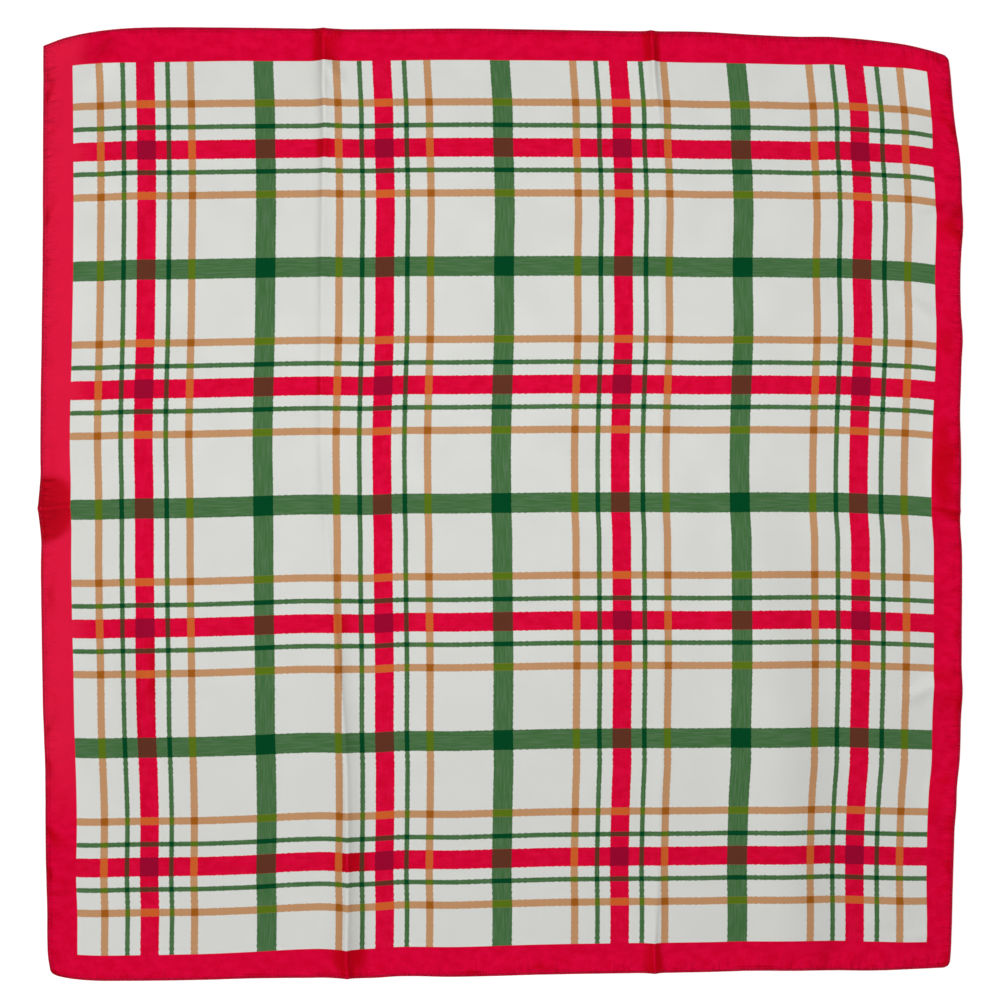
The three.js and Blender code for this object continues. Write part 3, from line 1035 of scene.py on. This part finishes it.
def crimson_ink(nodes, across, along):
    """The crimson: a slightly uneven coat, with painted shade that makes it darker and purer red where the
    cloth leans, and a painted sheen that makes it paler by the left hem.
    """
    fine = nodes.noise(nodes.pair(
        nodes.math("DIVIDE", across, MOTTLE_LENGTH), nodes.math("DIVIDE", along, MOTTLE_WIDTH)
    ), detail=MOTTLE_DETAIL, roughness=MOTTLE_ROUGHNESS)
    share = nodes.ramp(fine, *MOTTLE_CONTRAST, 0.0, 1.0)
    coat = nodes.mix(share, linear(DEEP_CRIMSON), linear(PALE_CRIMSON))
    # Painted sheen: the crimson turns paler and pinker by the left hem
    sheen_patch = nodes.math(
        "MULTIPLY",
        nodes.ramp(across, *SHEEN_PATCH_ACROSS, 1.0, 0.0),
        nodes.ramp(along, *SHEEN_PATCH_ALONG, 0.0, 1.0),
    )
    coat = nodes.mix(sheen_patch, coat, linear(SHEEN_PAINTED_CRIMSON))
    # Painted shade: the crimson turns darker and purer red where the cloth leans
    lean = nodes.add("ShaderNodeAttribute", attribute_name="lean").outputs["Fac"]
    slope_shade = nodes.ramp(lean, SLOPE_SHADE_START, SLOPE_SHADE_FULL, 0.0, SLOPE_SHADE_SHARE)
    return nodes.mix(slope_shade, coat, linear(SLOPE_SHADED_CRIMSON))


def satin_material():
    material, shader, nodes = new_material("printed_satin")
    across, along = nodes.map_millimetres("cloth_flat")
    place, run = nodes.map_millimetres("cloth_print")

    hem = HemPlace(nodes, across, along)
    crimson = crimson_ink(nodes, across, along)
    plaid = plaid_colour(nodes, place, run, crimson)
    design = nodes.mix(border_mask(nodes, place, run), plaid, crimson)
    # Painted shade along the hem's rolled edge and in the needle holes between stitches
    design = nodes.mix(painted_hem_shade(nodes, hem), design, linear(HEM_PAINTED_SHADE))
    back = nodes.add("ShaderNodeAttribute", attribute_name="underside")
    paler = nodes.mix(BACK_PALENESS, design, linear(CREAM))
    colour = nodes.mix(back.outputs["Fac"], design, paler)
    nodes.put(shader.inputs["Base Color"], colour)

    clouds = nodes.noise(nodes.pair(
        nodes.math("DIVIDE", across, CLOUD_SIZE), nodes.math("DIVIDE", along, CLOUD_SIZE)
    ))
    nodes.put(shader.inputs["Roughness"], nodes.ramp(clouds, *CLOUD_CONTRAST, *SATIN_ROUGHNESS))
    shader.inputs["Specular IOR Level"].default_value = SATIN_GLOSS
    shader.inputs["Metallic"].default_value = SATIN_SHEEN

    soft = nodes.bump(clouds, CLOUD_HEIGHT)
    gathered = nodes.bump(hem_relief(nodes, hem), GATHER_HEIGHT, soft)
    weave = nodes.bump(weave_height(nodes, across, along), WEAVE_DEPTH, gathered)
    nodes.put(shader.inputs["Normal"], weave)
    return material


def thread_material():
    """Twisted sewing thread: fine slanting ridges with painted shade in the grooves between them, and a
    dull shine.
    """
    material, shader, nodes = new_material("hem_thread")
    spot = nodes.add("ShaderNodeNewGeometry").outputs["Position"]
    parts = nodes.add("ShaderNodeSeparateXYZ")
    nodes.put(parts.inputs[0], spot)
    slant = nodes.math("ADD", parts.outputs[0], nodes.math("ADD", parts.outputs[1], parts.outputs[2]))
    twist = nodes.math("SINE", nodes.math("MULTIPLY", slant, 2 * math.pi / (THREAD_TWIST * MM)))
    height = nodes.math("MULTIPLY_ADD", twist, 0.5, 0.5)
    # Painted shade: the thread's colour turns darker in the grooves of its twist
    tone = nodes.ramp(height, 0.0, 1.0, THREAD_TONE, 1.0)
    colour = nodes.mix(tone, linear(THREAD_GROOVE_SHADE), linear(THREAD_RED))
    nodes.put(shader.inputs["Base Color"], colour)
    shader.inputs["Roughness"].default_value = THREAD_ROUGHNESS
    shader.inputs["Specular IOR Level"].default_value = THREAD_GLOSS
    nodes.put(shader.inputs["Normal"], nodes.bump(height, THREAD_RELIEF))
    return material


# Floor, light and camera

def make_floor():
    bpy.ops.mesh.primitive_plane_add(size=FLOOR_SIZE, location=(0, 0, -FLOOR_DEPTH))
    floor = bpy.context.object
    floor.name = "floor"
    material, shader, _ = new_material("pale_floor")
    shader.inputs["Base Color"].default_value = (FLOOR_WHITE, FLOOR_WHITE, FLOOR_WHITE, 1)
    shader.inputs["Roughness"].default_value = FLOOR_ROUGHNESS
    shader.inputs["Specular IOR Level"].default_value = 0.0
    shader.inputs["Emission Color"].default_value = (1, 1, 1, 1)
    shader.inputs["Emission Strength"].default_value = FLOOR_GLOW
    floor.data.materials.append(material)
    return floor


def make_lamp(row):
    light = bpy.data.lights.new(row["name"], "AREA")
    light.shape = "DISK"
    light.size = row["wide"]
    light.energy = row["watts"]
    lamp = bpy.data.objects.new(row["name"], light)
    lamp.location = row["place"]
    towards = Vector(row["faces"]) - Vector(row["place"])
    lamp.rotation_euler = towards.to_track_quat("-Z", "Y").to_euler()
    bpy.context.scene.collection.objects.link(lamp)


def world_light():
    """Soft light from a wide bright ceiling, with dimmer walls all round."""
    world = bpy.data.worlds.new("studio")
    bpy.context.scene.world = world
    world.use_nodes = True
    nodes = Nodes(world)
    background = world.node_tree.nodes["Background"]
    background.inputs["Color"].default_value = (1, 1, 1, 1)
    heading = nodes.add("ShaderNodeTexCoord").outputs["Generated"]
    parts = nodes.add("ShaderNodeSeparateXYZ")
    nodes.put(parts.inputs[0], heading)
    strength = nodes.ramp(parts.outputs[2], *CEILING_EDGE, HORIZON, ZENITH)
    nodes.put(background.inputs["Strength"], strength)


def make_camera():
    data = bpy.data.cameras.new("camera")
    data.sensor_width = CAMERA_SENSOR
    data.lens = CAMERA_LENS
    camera = bpy.data.objects.new("camera", data)
    camera.location = (CAMERA_ACROSS, CAMERA_ALONG, CAMERA_HEIGHT)
    bpy.context.scene.collection.objects.link(camera)
    bpy.context.scene.camera = camera


def main():
    make_camera()
    cloth, ground = make_cloth()
    cloth.data.materials.append(satin_material())
    stitches = make_stitches(ground)
    stitches.data.materials.append(thread_material())

    for piece in (cloth, stitches):
        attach(piece, "root")
    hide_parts("scarf_cloth")

    make_floor()
    for row in LAMPS:
        make_lamp(row)
    world_light()
    bpy.context.scene.view_settings.view_transform = "Standard"


main()
